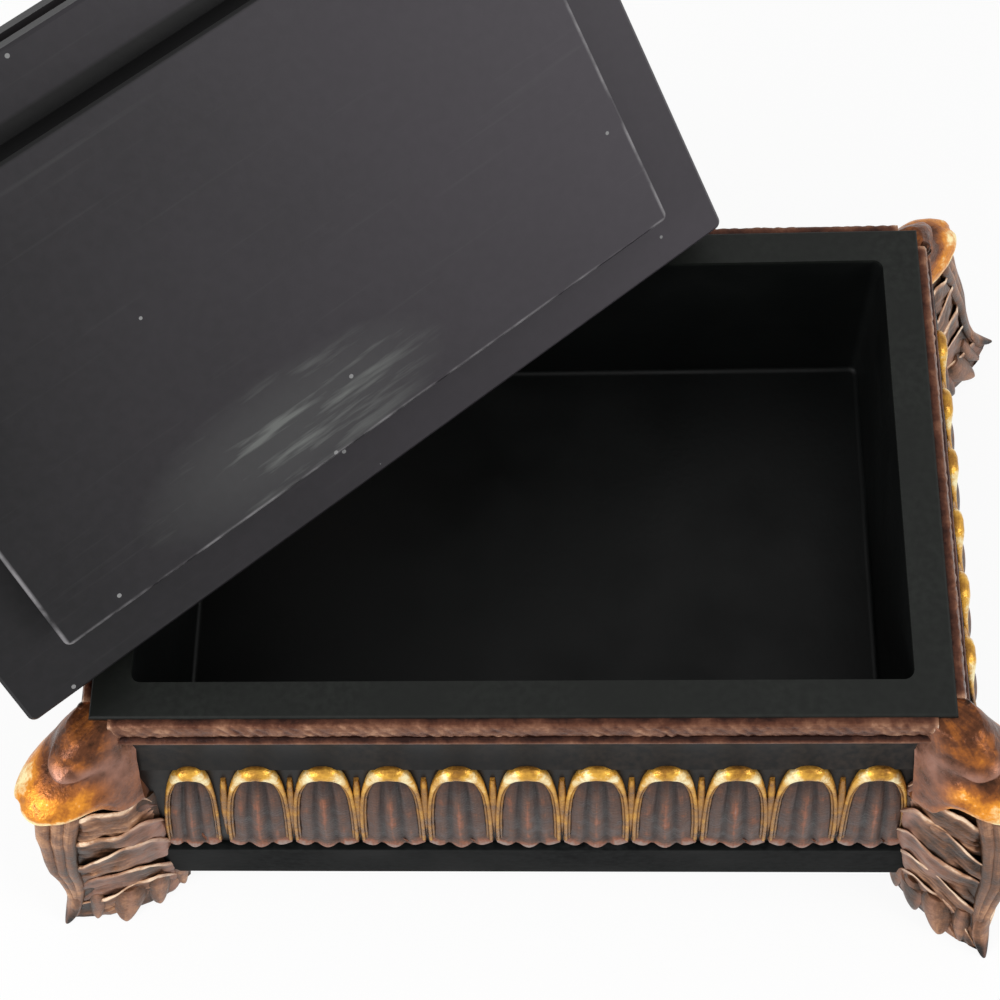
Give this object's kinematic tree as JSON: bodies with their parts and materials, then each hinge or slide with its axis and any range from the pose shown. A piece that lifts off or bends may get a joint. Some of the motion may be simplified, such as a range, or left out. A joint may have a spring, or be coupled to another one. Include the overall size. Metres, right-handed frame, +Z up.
{
  "type": "trinket box",
  "caption": "Rectangular trinket box with acanthus corner feet, a tongue frieze, copper mouldings and a lift-off lid leaning on its rim.",
  "frame": {"origin": "centre of the felt face under the box", "axes": "+X along the box's length to the right, +Y from the ornamented front to the back, +Z up"},
  "size_m": [0.2367, 0.1847, 0.1717],
  "materials": {
    "black_resin": "satin black painted cast resin with worn edges",
    "lid_black": "charcoal painted cast resin, scuffed",
    "copper": "dusty metallic copper paint over relief",
    "bronze": "antiqued dark copper paint with rubbed highlights",
    "gilt": "polished orange gold paint",
    "board": "plain brown hardboard",
    "felt": "black felt"
  },
  "bodies": {
    "box": {"box_body": "black_resin", "plinth": "black_resin", "base_board": "board", "base_felt": "felt", "front_moulding": "copper", "front_cove": "black_resin", "front_frieze": "bronze", "back_moulding": "copper", "back_cove": "black_resin", "back_frieze": "bronze", "left_moulding": "copper", "left_cove": "black_resin", "left_frieze": "bronze", "right_moulding": "copper", "right_cove": "black_resin", "right_frieze": "bronze", "front_left_shoulder": "gilt", "front_left_leaf": "bronze", "front_right_shoulder": "gilt", "front_right_leaf": "bronze", "back_left_shoulder": "gilt", "back_left_leaf": "bronze", "back_right_shoulder": "gilt", "back_right_leaf": "bronze"},
    "lid": {"lid_panel": "lid_black", "lid_plug": "lid_black", "lid_lower_strip": "copper", "lid_upper_strip": "copper", "lid_left_strip": "copper", "lid_right_strip": "copper", "lid_core": "lid_black", "lid_cornice": "lid_black", "lid_cushion": "bronze", "finial_collar": "gilt", "finial": "gilt"}
  },
  "joints": [
    {"name": "lid_lift", "type": "slide", "parent": "box", "child": "lid", "axis": [0, 0, 1], "range_m": [0, 0.12]}
  ]
}
